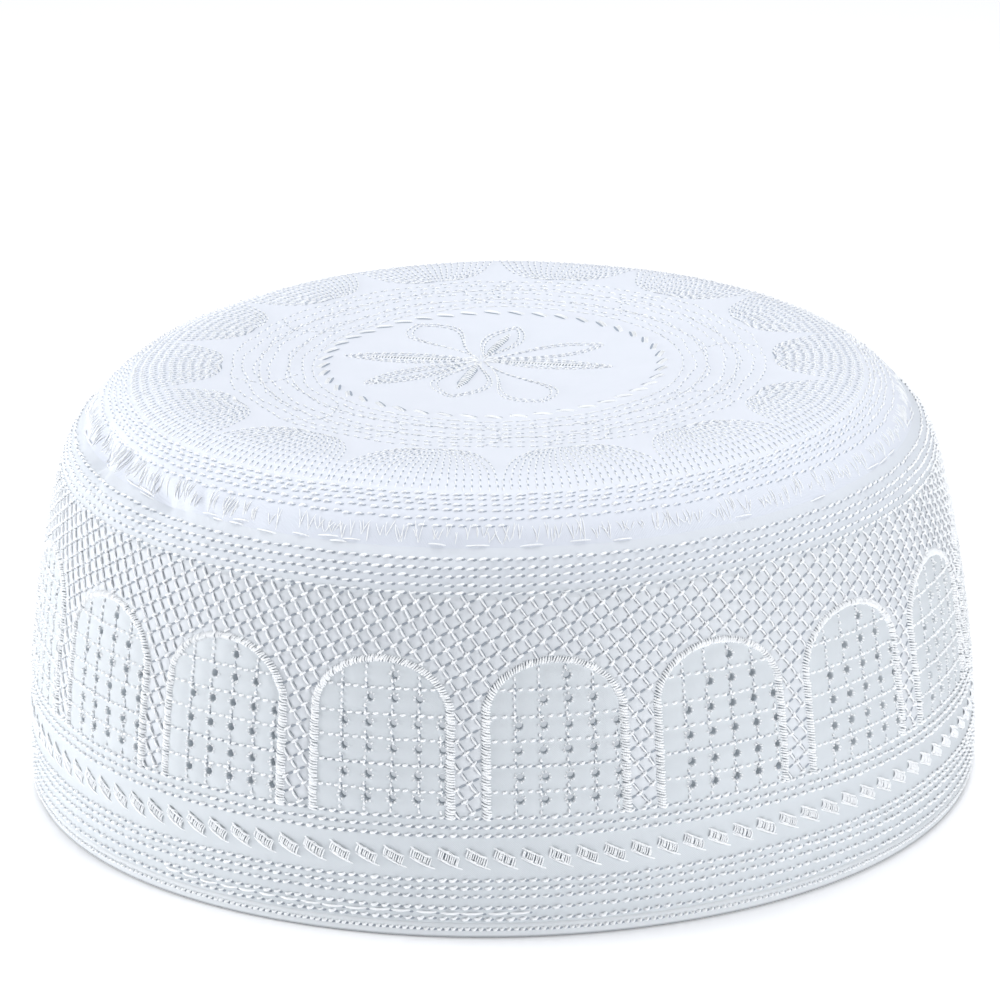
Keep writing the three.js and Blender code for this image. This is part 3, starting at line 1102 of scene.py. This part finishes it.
@dataclass
class BandEmbroidery:
    """All thread on the band: running rows, rope, arches, their grids and the lattice between."""

    low_rows: tuple = (4.2, 6.4, 8.6, 10.3, 11.8, 20.6, 22.3, 24.1)
    top_rows: tuple = (66.3, 67.8, 69.4, 70.9, 72.7)
    low_pitch: float = 2.13
    top_pitch: float = 2.2
    dot_row: float = 2.1
    dot_pitch: float = 1.3
    # A loose thread low at the front: its first and last turn, its height and its pitch
    loose_turns: tuple = (-42, 3)
    loose_height: float = 5.3
    loose_pitch: float = 4.4
    rope_bars: int = 116
    rope_height: float = 16.2
    # Each bar of the rope: half its length, its fall over that, half its height, and its threads
    bar_half: float = 1.75
    bar_fall: float = 1.05
    bar_tall: float = 0.95
    bar_threads: int = 10
    # Heights of the ends of each bar's bed, a painted shade under it, of the threads that cross it left and
    # right, its rim and its tail
    bed_heights: tuple = (17.2, 15.2)
    left_heights: tuple = (18.2, 16.3)
    right_heights: tuple = (16.3, 14.4)
    rim_heights: tuple = (18.25, 16.25)
    tail_heights: tuple = (16.15, 13.9)
    # How firmly the rope is sewn at turns round the band: looser, sunk in the cloth and with a narrower
    # painted shade under it, at the front's left
    firm_turns: tuple = (-100.0, -75.0, -55.0, -30.0)
    firmness: tuple = (1.0, 0.5, 0.5, 1.0)
    satin_width: float = 1.75
    satin_pitch: float = 0.52
    # The satin of an arch's right leg lies further out: past this far aside, below this height, by this much
    right_leg: tuple = (8, 46, 0.22)
    grid_row_pitch: float = 1.67
    grid_column_pitch: float = 1.25
    # The grid keeps inside the satin: rows by some degrees, columns by some millimetres
    row_margin: float = 0.45
    column_margin: float = 0.8
    # The column that stands close inside the right leg of each arch
    edge_column: float = 7.0
    eyelet_stitches: int = 8
    # Threads of the lattice, in shares of a cell from a crossing: start, end, rise and width
    lattice_threads: tuple = (
        ((0.06, 0.0), (0.94, 0.0), 0.34, 0.36),
        ((0.03, -0.27), (-0.03, 0.27), 0.46, 0.48),
        ((-0.13, 0.05), (0.13, -0.05), 0.5, 0.38),
    )
    # Painted shade of the lattice's needle holes: start, end and width
    lattice_holes: tuple = (((0.0, 0.24), (0.0, 0.76), 0.42), ((0.16, 0.12), (0.84, 0.12), 0.13))
    holes: PaintedShadeMarks = field(default_factory=lambda: PaintedShadeMarks("band_needle_holes", width=0.4))

    def running_rows(self, thread: Material) -> None:
        """Sews the plain rows below the rope and above the lattice, and the dots along the hem."""
        work = ThreadWork("band_running_rows", 11, 0.56, 0.46, holes=self.holes)
        for place, reach in enumerate(self.low_rows):
            pitch = self.low_pitch * (1 + 0.015 * math.sin(7 * place))
            work.run(ring_path(reach), pitch, cover=0.57, wander=0.1, slant=0.15, uneven=0.14)
        for place, reach in enumerate(self.top_rows):
            pitch = self.top_pitch * (1 + 0.015 * math.sin(5 * place))
            looks = {"uneven": 0.18, "width": 0.44, "rise": 0.34}
            work.run(ring_path(reach), pitch, cover=0.6, wander=0.13, slant=0.15, **looks)
        part = np.linspace(*self.loose_turns, 60)
        loose = pairs(part, self.loose_height + 0.12 * np.sin(0.4 * part))
        work.run(loose, self.loose_pitch, cover=0.9, wander=0.06, slant=0.06, rise=0.3, width=0.5)
        work.finish(thread)
        dots = ThreadWork("hem_dot_row", 12, 0.55, 0.4, holes=self.holes)
        dots.run(ring_path(self.dot_row), self.dot_pitch, cover=0.58)
        dots.finish(thread)

    def rope(self, thread: Material) -> None:
        """Sews the rope: slanted bars of satin, each with a thread that trails to the next."""
        work = ThreadWork("rope_chain", 13, 0.32, 0.42)
        pitch = FULL_TURN / self.rope_bars
        half = self.bar_half / ACROSS
        for bar in range(self.rope_bars):
            middle = bar * pitch
            firm = np.interp(wrapped(middle), self.firm_turns, self.firmness)
            share = np.linspace(-0.96, 0.96, self.bar_threads)
            share = share + work.chance.uniform(-0.05, 0.05, self.bar_threads)
            turn = middle + half * share
            reach = self.rope_height - self.bar_fall * share
            tall = self.bar_tall * work.chance.uniform(0.84, 1.14, self.bar_threads)
            tops = pairs(turn + 0.14, reach + tall)
            work.sew(tops, pairs(turn - 0.2, reach - tall), rise=0.42 * firm)
            # The bed: painted shade under the bar
            bed = pairs([middle - 0.92 * half, middle + 0.92 * half], self.bed_heights)
            self.holes.mark(bed[:1], bed[1:], width=work.chance.uniform(0.45, 0.9) * firm)
            left = pairs([middle - half, middle - 0.9 * half], self.left_heights)
            right = pairs([middle + half, middle + 0.9 * half], self.right_heights)
            centre = (left + right) / 2 + work.chance.uniform(-0.15, 0.15, (2, 2))
            work.sew(left, centre, rise=0.56 * firm, width=0.36)
            work.sew(centre, right, rise=0.56 * firm, width=0.36)
            rim = pairs([middle - half - 0.2, middle - half - 0.3], self.rim_heights)
            tail = pairs([middle + half + 0.15, middle + half + 0.5], self.tail_heights)
            work.sew(rim, tail, rise=0.34, width=0.36, stations=5)
        work.finish(thread)

    def arch_line(self) -> tuple[np.ndarray, np.ndarray]:
        """The middle of the satin of one arch, and the way across it.

        Returns:
            Places as millimetres aside and up, a satin pitch apart, and ways across likewise.
        """
        wide = ARCHES.half_width * ACROSS
        leg = np.arange(ARCHES.foot, ARCHES.spring, self.satin_pitch)
        angle = np.linspace(np.pi, 0, 400)
        bend = pairs(wide * np.cos(angle), ARCHES.spring + ARCHES.rise * np.sin(angle))
        run = run_length(bend)
        bend = sampled(np.arange(0, run[-1], self.satin_pitch), run, bend)
        left = pairs(np.full_like(leg, -wide), leg)
        right = pairs(np.full_like(leg, wide), leg[::-1])
        line = np.concatenate([left, bend, right])
        along = unit(np.gradient(line, axis=0))
        return line, pairs(-along[:, 1], along[:, 0])

    def arches(self, thread: Material) -> None:
        """Sews the satin round each arch, with its threads slanted across the line."""
        work = ThreadWork("arch_satin", 14, 0.44, 0.6, sink=0.14)
        line, out = self.arch_line()
        along = pairs(out[:, 1], -out[:, 0])
        scale = np.array([1 / ACROSS, 1.0])
        past, below, further = self.right_leg
        line = line + np.where((line[:, :1] > past) & (line[:, 1:] < below), [[further, 0.0]], 0.0)
        for middle in ARCHES.middles:
            half = 0.5 * self.satin_width * (1 + 0.09 * work.chance.standard_normal((2, len(line), 1)))
            half = half * (1 - 0.3 * np.clip((line[:, 1:] - ARCHES.spring) / ARCHES.rise, 0, 1))
            lean = along * work.chance.normal(0.26, 0.08, (len(line), 1))
            near = (line + out * half[0] + lean) * scale + [middle, 0]
            far = (line - out * half[1] - lean) * scale + [middle, 0]
            work.sew(near, far, uneven=0.16)
            outer, inner = (near + np.roll(near, -1, 0)) / 2, (far + np.roll(far, -1, 0)) / 2
            on_left = line[:, :1] < 0
            crest = inner + (outer - inner) * np.where(on_left, 0.45, 0.75)
            low = np.where(on_left, crest, inner)
            high = np.where(on_left, outer, crest)
            # Painted shade between the satin's threads
            picked = work.chance.random(len(line) - 1) < 0.8
            self.holes.mark(low[:-1][picked], high[:-1][picked], width=0.24)
        work.finish(thread)

    def arch_grids(self, thread: Material) -> None:
        """Sews the grid of running rows and columns inside each arch."""
        work = ThreadWork("arch_grid_rows", 15, 0.52, 0.38, holes=self.holes, clearance=1.15)
        for middle in ARCHES.middles:
            for reach in ARCHES.rows[1:]:
                half = ARCHES.half_span(reach) - self.row_margin
                path = np.array([[middle - half, reach], [middle + half, reach]])
                work.run(path, self.grid_row_pitch, cover=0.6, wander=0.08)
            for column in ARCHES.columns + (self.edge_column,):
                share = abs(column) / ARCHES.half_width
                top = ARCHES.spring + ARCHES.rise * math.sqrt(1 - share * share) - self.column_margin
                if column == self.edge_column:
                    top = ARCHES.spring - 1
                path = np.array([[middle + column, ARCHES.foot + 0.4], [middle + column, top]])
                work.run(path, self.grid_column_pitch, cover=0.6, wander=0.08, slant=0.05, width=0.42)
        work.finish(thread)

    def eyelet_rims(self, thread: Material) -> None:
        """Sews the short stitches that bind the rim of each eyelet."""
        work = ThreadWork("eyelet_rim_stitches", 17, 0.36, 0.44, sink=-0.1, stations=3)
        scale = np.array([1 / ACROSS, 1.0])
        count = self.eyelet_stitches
        for arch in range(ARCHES.count):
            for column, reach in ARCHES.eyelets():
                middle = np.array([ARCHES.eyelet_turn(arch, column, reach), reach])
                angle = np.radians(FULL_TURN / count * np.arange(count) + work.chance.uniform(-14, 14, count))
                way = pairs(np.cos(angle), np.sin(angle))[work.chance.random(count) < 0.8]
                far = work.chance.uniform(1.0, 1.2, (len(way), 1))
                work.sew(middle + 0.76 * way * scale, middle + far * way * scale, uneven=0.15)
        work.finish(thread)

    def lattice(self, thread: Material) -> None:
        """Sews the slanted lattice round the arches, one stitch along each side of each cell."""
        work = ThreadWork("lattice_stitches", 16, 0.44, 0.32)
        counts = [cells * ARCHES.count for cells, _, _ in LATTICE.lines]
        first, second = np.meshgrid(np.arange(-30, counts[0] + 30), np.arange(-30, counts[1] + 40))
        nodes = np.stack([first.ravel(), second.ravel()], -1) + LATTICE.phases
        nodes = nodes + work.chance.uniform(-0.045, 0.045, nodes.shape)
        inverse = np.linalg.inv(LATTICE.slopes)

        def kept(ends: tuple[np.ndarray, np.ndarray]) -> tuple[np.ndarray, np.ndarray]:
            """Those of the stitches whose middle lies in the lattice."""
            middle = (ends[0] + ends[1]) / 2
            inside = (middle[:, 0] >= 0) & (middle[:, 0] < FULL_TURN)
            inside &= (middle[:, 1] > LATTICE.low) & (middle[:, 1] < LATTICE.high - 0.6)
            inside &= ARCHES.depth_inside(middle[:, 0], middle[:, 1]) < -0.09
            return ends[0][inside], ends[1][inside]

        def side(low: tuple, high: tuple) -> tuple[np.ndarray, np.ndarray]:
            """Places at two shares of a cell from each crossing, each a little off."""
            loose = work.chance.uniform(-0.05, 0.05, (2, *nodes.shape))
            return kept(((nodes + low + loose[0]) @ inverse.T, (nodes + high + loose[1]) @ inverse.T))

        for start, end, rise, width in self.lattice_threads:
            work.sew(*side(start, end), rise=rise, width=width)
        # Painted shade along the lattice's lines
        for start, end, width in self.lattice_holes:
            self.holes.mark(*side(start, end), width=width)
        work.finish(thread)

    def build(self, thread: Material, hole: Material) -> None:
        """Sews all of the band's thread."""
        self.running_rows(thread)
        self.rope(thread)
        self.arches(thread)
        self.arch_grids(thread)
        self.eyelet_rims(thread)
        self.lattice(thread)
        # All the painted shade marks of the band, as one piece
        self.holes.finish(hole, Slot.BAND)


@dataclass
class CrownEmbroidery:
    """All thread on the crown: seam stitches, running rows, fans, rings and the rosette."""

    rows: tuple = (80.9, 82.7, 84.1, 85.3, 86.5)
    row_pitch: float = 2.32
    partial_row: float = 79.3
    partial_turns: tuple = (-13, 1)
    zigzag_low: float = 75.8
    zigzag_high: float = 79.9
    zigzag_count: int = 320
    # Where the seam is puckered most and the zigzag wildest: its turn and half width in degrees
    pucker: tuple = (-60, 16)
    # Long threads that float along the seam
    floats: int = 56
    float_height: float = 75.3
    fans: int = 14
    fan_rows: int = 21
    fan_foot: float = 73.2
    fan_top: float = 55.0
    ring_rows: tuple = (39.0, 42.0, 45.3, 48.0, 50.5, 53.0)
    ring_lines: tuple = (36.8, 41.4, 47.4)
    # Rows that cross the ring: their turns, their outer radius and their length inward
    cross_turns: tuple = (-29.0, -4.0, 9.0, 21.0, 58.0, 97.0, 141.0, 176.0, 183.0, 236.0, 279.0, 310.0)
    cross_radius: float = 53.0
    cross_length: float = 13.0
    bar_radius: float = 33.5
    bars: int = 44
    bar_length: float = 4.7
    bar_width: float = 1.15
    bar_slant: float = 27.0
    bar_middle: tuple = (-1.0, 0.0)
    rosette_middle: tuple = (-3.4, 4.0)
    spokes: int = 12
    # How far from the rosette's middle a satin leaf starts
    leaf_start: float = 3.0
    # Satin leaves: way they point in degrees, length, width
    leaves: tuple = ((-14.0, 23.0, 1.5), (175.0, 23.0, 1.7), (-104.0, 19.5, 2.6), (70.0, 17.5, 2.2))
    # Outlined petals: way they point, length, width, fullest place, rows of stitches
    petals: tuple = (
        (-14.0, 27.0, 5.6, 0.45, 2),
        (175.0, 27.5, 6.0, 0.45, 2),
        (-104.0, 25.0, 12.0, 0.6, 2),
        (70.0, 22.0, 8.0, 0.55, 2),
        (-67.0, 31.0, 11.5, 0.74, 2),
        (-146.0, 28.0, 6.5, 0.55, 3),
        (119.0, 26.0, 11.5, 0.72, 2),
        (18.0, 26.0, 7.5, 0.6, 2),
    )
    holes: PaintedShadeMarks = field(default_factory=lambda: PaintedShadeMarks("crown_needle_holes", width=0.28))

    def polar(self, turn: np.ndarray, radius: np.ndarray) -> np.ndarray:
        """Plan places from turns and radii of the plain round plan."""
        wave = FORM.plan_wave(np.asarray(turn, float)) * radius
        return pairs(wave * np.sin(np.radians(turn)), -wave * np.cos(np.radians(turn)))

    def seam(self, thread: Material) -> None:
        """Sews the loose zigzag that holds the crown to the band, with its long floats."""
        work = ThreadWork("seam_zigzag", 21, 0.18, 0.1, sink=0.08, stations=5)
        chance = work.chance
        pitch = FULL_TURN / self.zigzag_count
        turn = pitch * np.arange(self.zigzag_count) + chance.uniform(-0.45, 0.45, self.zigzag_count) * pitch
        turn = turn[chance.random(len(turn)) < 0.88]
        puckered = np.exp(-((wrapped(turn - self.pucker[0]) / self.pucker[1]) ** 2))
        low = self.zigzag_low + chance.uniform(-0.6, 1.3, len(turn)) - 0.6 * puckered
        high = self.zigzag_high + chance.uniform(-1.9, 0.6, len(turn)) + 1.4 * puckered
        lean = chance.uniform(-0.1, 0.95, (2, len(turn))) * pitch
        foot = pairs(turn, low)
        work.sew(foot, pairs(turn - lean[0], high), bow=chance.uniform(-0.08, 0.08, len(turn)))
        work.sew(foot, pairs(turn + lean[1], high + chance.uniform(-0.5, 0.4, len(turn))))
        extra = chance.random(len(turn)) < 0.45 + 0.4 * puckered
        loose = pairs(turn[extra] + 0.3 * pitch, low[extra] + 0.5)
        climb = pairs(chance.uniform(-0.5, 0.9, extra.sum()), high[extra] - low[extra] - 0.3)
        work.sew(loose, loose + climb)
        start = chance.uniform(0, FULL_TURN, self.floats)
        reach = self.float_height + chance.uniform(-0.5, 0.6, self.floats)
        span = chance.uniform(1.8, 3.2, self.floats)
        end = pairs(start + span, reach + chance.uniform(-0.35, 0.35, self.floats))
        work.sew(pairs(start, reach), end, width=0.32, rise=0.26)
        work.finish(thread)

    def running_rows(self, thread: Material) -> None:
        """Sews the rows round the shoulder."""
        work = ThreadWork("crown_running_rows", 22, 0.42, 0.24, holes=self.holes)
        for place, reach in enumerate(self.rows):
            pitch = self.row_pitch * (1 + 0.02 * math.sin(5 * place))
            work.run(ring_path(reach), pitch, cover=0.52, wander=0.2, slant=0.14, uneven=0.16)
        work.run(ring_path(self.partial_row, *self.partial_turns, steps=39), self.row_pitch, cover=0.5)
        work.finish(thread)

    def fan_path(self, fan: int, row: int) -> np.ndarray:
        """One row of a fan, from its foot up over the crown to its nose.

        Args:
            fan: The fan's number.
            row: The row's number; every other one stops short of the nose.

        Returns:
            Plan places along the row.
        """
        half = 0.5 * FULL_TURN / self.fans
        share = 2 * row / (self.fan_rows - 1) - 1
        climb = np.linspace(0, 0.95 if row % 2 == 0 else 0.7, 40)
        middle = (fan + 0.5) * 2 * half
        turn = middle + share * half * 0.97 * np.cos(0.5 * np.pi * climb) ** 0.62
        radius = self.fan_foot - (self.fan_foot - self.fan_top) * np.sin(0.5 * np.pi * climb)
        return self.polar(turn, radius)

    def fan_work(self, thread: Material) -> None:
        """Sews the fans of running rows that stand round the edge of the crown."""
        work = ThreadWork("crown_fans", 23, 0.3, 0.15, holes=self.holes, hole_half=0.34, chart=Chart.CROWN)
        for fan in range(self.fans):
            for row in range(self.fan_rows):
                work.run(self.fan_path(fan, row), 1.9, cover=0.62, slant=0.04, wander=0.12)
        work.finish(thread)

    def rings(self, thread: Material) -> None:
        """Sews the ring of rows between the fans and the rosette, and the satin bars inside it."""
        pricked = {"holes": self.holes, "hole_half": 0.32}
        rows = ThreadWork("crown_ring_rows", 24, 0.34, 0.18, **pricked, chart=Chart.CROWN)
        turns = np.linspace(0, FULL_TURN, 361)
        for place, radius in enumerate(self.ring_rows):
            wavy = radius + 0.35 * np.sin(np.radians(14 * turns + 80 * place))
            rows.run(self.polar(turns, wavy), 2.5, cover=0.5, slant=0.05, wander=0.3)
        for radius in self.ring_lines:
            path = self.polar(turns, radius)
            rows.run(path, 3.4, cover=0.95, slant=0.0, width=0.22, rise=0.16)
        inward = np.linspace(0, 1, 20)
        radii = self.cross_radius - self.cross_length * inward
        for turn in self.cross_turns:
            path = self.polar(turn + 5 * np.sin(np.pi * inward), radii)
            rows.run(path, 2.0, cover=0.6, slant=0.0, width=0.26, rise=0.12)
        rows.finish(thread)
        bars = ThreadWork("crown_ring_bars", 25, 0.28, 0.13, chart=Chart.CROWN)
        slant = math.radians(self.bar_slant)
        for bar in range(self.bars):
            out = way_at(FULL_TURN * bar / self.bars)
            axis = left_of(out) * math.cos(slant) + out * math.sin(slant)
            side = left_of(axis)
            middle = out * self.bar_radius + self.bar_middle
            half = axis * self.bar_length / 2
            row = middle + side * self.bar_width * np.array([[-0.42], [-0.16], [0.1]])
            row = row + axis * bars.chance.uniform(-0.3, 0.3, (3, 1))
            bars.sew(row - 0.9 * half, row + 0.9 * half, uneven=0.15, stations=6)
            # Painted shade along one edge of each bar
            edge = middle[None] + side * self.bar_width * 0.42
            self.holes.mark(edge - 0.85 * half, edge + 0.8 * half, Chart.CROWN, width=0.5)
        bars.finish(thread)

    def petal_outline(self, way: float, length: float, width: float, fullest: float) -> np.ndarray:
        """The closed outline of one petal.

        Args:
            way: The way it points, in degrees round from plan x.
            length: From the rosette's middle to its tip.
            width: At its fullest.
            fullest: Where it is fullest, as a share of its length.

        Returns:
            Plan places round it.
        """
        share = np.linspace(0, 1, 40)
        power = math.log(0.5) / math.log(fullest)
        half = 0.5 * width * np.sin(np.pi * share**power) ** 0.85
        along = length * (0.09 + 0.91 * share)
        one = pairs(along, half)
        other = pairs(along[::-1], -half[::-1])
        axis = way_at(way)
        return np.concatenate([one, other]) @ np.array([axis, left_of(axis)]) + self.rosette_middle

    def rosette(self, thread: Material) -> None:
        """Sews the eight-petalled rosette: satin leaves, outlined petals and a stitched middle."""
        work = ThreadWork("crown_rosette_rows", 26, 0.32, 0.18, holes=self.holes, chart=Chart.CROWN)
        for way, length, width, fullest, rows in self.petals:
            for row in range(rows):
                path = self.petal_outline(way, length - 1.1 * row, width - 2.1 * row, fullest)
                work.run(path, 1.7, cover=0.62, slant=0.03)
        for spoke in range(self.spokes):
            way = way_at(FULL_TURN * spoke / self.spokes)
            start = self.rosette_middle + way * 0.6
            work.sew(start, start + way * (2.4 + 0.6 * (spoke % 2)))
        work.finish(thread)
        satin = ThreadWork("crown_rosette_satin", 27, 0.34, 0.26, chart=Chart.CROWN)
        for way, length, width in self.leaves:
            axis = way_at(way)
            side = left_of(axis)
            sideways = abs(side[1]) > 0.7
            along = np.arange(self.leaf_start, length, 0.62 if sideways else 1.05)
            # Painted shade under the satin of each leaf
            bed = self.rosette_middle + np.array([[(self.leaf_start + 0.4) * axis], [(length - 0.8) * axis]])
            self.holes.mark(*bed, Chart.CROWN, width=(0.45 if sideways else 0.8) * width)
            share = (along - self.leaf_start) / (length - self.leaf_start)
            half = 0.5 * width * np.sin(np.pi * np.clip(share, 0.04, 0.97)) ** 0.8
            middle = self.rosette_middle + axis * along[:, None]
            across = side * half[:, None] + axis * 0.5 * half[:, None]
            satin.sew(middle - across, middle + across)
        satin.finish(thread)

    def build(self, thread: Material, hole: Material) -> None:
        """Sews all of the crown's thread."""
        self.seam(thread)
        self.running_rows(thread)
        self.fan_work(thread)
        self.rings(thread)
        self.rosette(thread)
        # All the painted shade marks of the crown, as one piece
        self.holes.finish(hole, Slot.CROWN)


@dataclass
class Studio:
    """Camera, floor and soft light, as the photograph has them."""

    look_at: tuple = (0.0, -0.66, 53.48)
    distance: float = 1100.0
    elevation: float = 19.17
    roll: float = 0.78
    lens: float = 198.8
    sensor: float = 36.0
    room_light: float = 0.36
    # The floor: half its side in metres, how far below the hem it lies in millimetres, and its own light
    floor_half: float = 6.0
    floor_drop: float = 0.02
    floor_glow: float = 0.16
    # Height that the softboxes aim at, in metres
    aim_height: float = 0.05
    # Softboxes: name, place in metres, side in metres, watts
    softboxes: tuple = (
        ("top_softbox", (0.05, 0.2, 1.1), 0.6, 7.5),
        ("left_softbox", (-1.0, -0.02, 0.15), 0.5, 9.0),
        ("right_softbox", (0.8, -0.9, 0.4), 0.4, 6.5),
    )

    def build(self) -> None:
        """Sets up the camera, the floor and the lights."""
        self.camera()
        self.floor()
        self.lights()

    def camera(self) -> None:
        """Makes the scene's camera."""
        data = bpy.data.cameras.new("camera")
        data.lens = self.lens
        data.sensor_width = self.sensor
        data.clip_start = 0.05
        data.clip_end = 20
        camera = bpy.data.objects.new("camera", data)
        rise, roll = math.radians(self.elevation), math.radians(self.roll)
        back = Vector((0, -math.cos(rise), math.sin(rise)))
        level, upright = Vector((1, 0, 0)), Vector((0, math.sin(rise), math.cos(rise)))
        right = level * math.cos(roll) - upright * math.sin(roll)
        up = level * math.sin(roll) + upright * math.cos(roll)
        turned = Matrix((right, up, back)).transposed().to_4x4()
        spot = Vector(self.look_at) + back * self.distance
        camera.matrix_world = Matrix.Translation(spot * MM) @ turned
        bpy.context.scene.collection.objects.link(camera)
        bpy.context.scene.camera = camera

    def floor(self) -> None:
        """Lays a plain white floor."""
        mesh = bpy.data.meshes.new("floor")
        square = ((-1, -1, 0), (1, -1, 0), (1, 1, 0), (-1, 1, 0))
        corners = [Vector(corner) * self.floor_half for corner in square]
        mesh.from_pydata(corners, [], [(0, 1, 2, 3)])
        floor = bpy.data.objects.new("floor", mesh)
        material, _, shader = new_finish("studio_floor")
        dress(shader, base_color=srgb("#fdfdfe"), roughness=0.9)
        dress(shader, emission_color=(1, 1, 1, 1), emission_strength=self.floor_glow)
        mesh.materials.append(material)
        floor.location.z = -self.floor_drop * MM
        bpy.context.scene.collection.objects.link(floor)

    def lights(self) -> None:
        """Hangs three softboxes round the cap and fills the room with pale light."""
        world = bpy.data.worlds.new("studio")
        world.use_nodes = True
        background = world.node_tree.nodes["Background"]
        background.inputs[0].default_value = srgb("#f4f8ff")
        background.inputs[1].default_value = self.room_light
        bpy.context.scene.view_settings.view_transform = "Standard"
        bpy.context.scene.world = world
        for name, place, size, power in self.softboxes:
            data = bpy.data.lights.new(name, "AREA")
            data.size = size
            data.energy = power
            light = bpy.data.objects.new(name, data)
            light.location = place
            aim = Vector((0, 0, self.aim_height)) - Vector(place)
            light.rotation_mode = "QUATERNION"
            light.rotation_quaternion = aim.to_track_quat("-Z", "Y")
            bpy.context.scene.collection.objects.link(light)


def main() -> None:
    """Builds the cap's pieces in order."""
    Studio().build()
    thread = RayonThread().make()
    slopes = LATTICE.slopes / [[ACROSS, 1.0]]
    phases = LATTICE.phases - LATTICE.slopes[:, 0] * ARCHES.first_turn
    band_cloth = PolishedCotton(
        "polished_cotton_band",
        "#d1d6da",
        "#c8ced3",
        quilt_depth=0.34,
        quilt_colour="#d7dbe0",
        # A lighter colour for the band's top, painted light
        shoulder_light_colour="#d4d9e0",
        quilt_slopes=tuple(map(tuple, slopes)),
        quilt_phases=tuple(phases),
    ).make()
    # The crown's cloth has a painted shade at its rim
    crown_cloth = PolishedCotton("polished_cotton_crown", "#e6eaf3", "#dfe4ed", rim_shade_colour="#d5dae4").make()
    # The hem's fold has a painted contact shade at its lowest edge
    hem_cloth = PolishedCotton("polished_cotton_hem", "#dde1e4", "#d5d9dd", contact_shade_height=0.85).make()
    # The wrong side has a painted glow
    wrong_side = PolishedCotton("polished_cotton_wrong_side", "#e2e7ec", "#dae0e6", painted_glow=0.14).make()
    SideBand().build(band_cloth, wrong_side)
    CrownPanel().build(crown_cloth, wrong_side)
    HemEdge().build(hem_cloth)
    # The holes of both embroideries are painted shade: flat grey marks, not cut holes
    BandEmbroidery().build(thread, PaintedHoleShade().make())
    CrownEmbroidery().build(thread, PaintedHoleShade("pricked_crown_cotton", "#98a4b5").make())


if __name__ == "__main__":
    logging.basicConfig(level=logging.INFO, format="%(message)s")
    main()
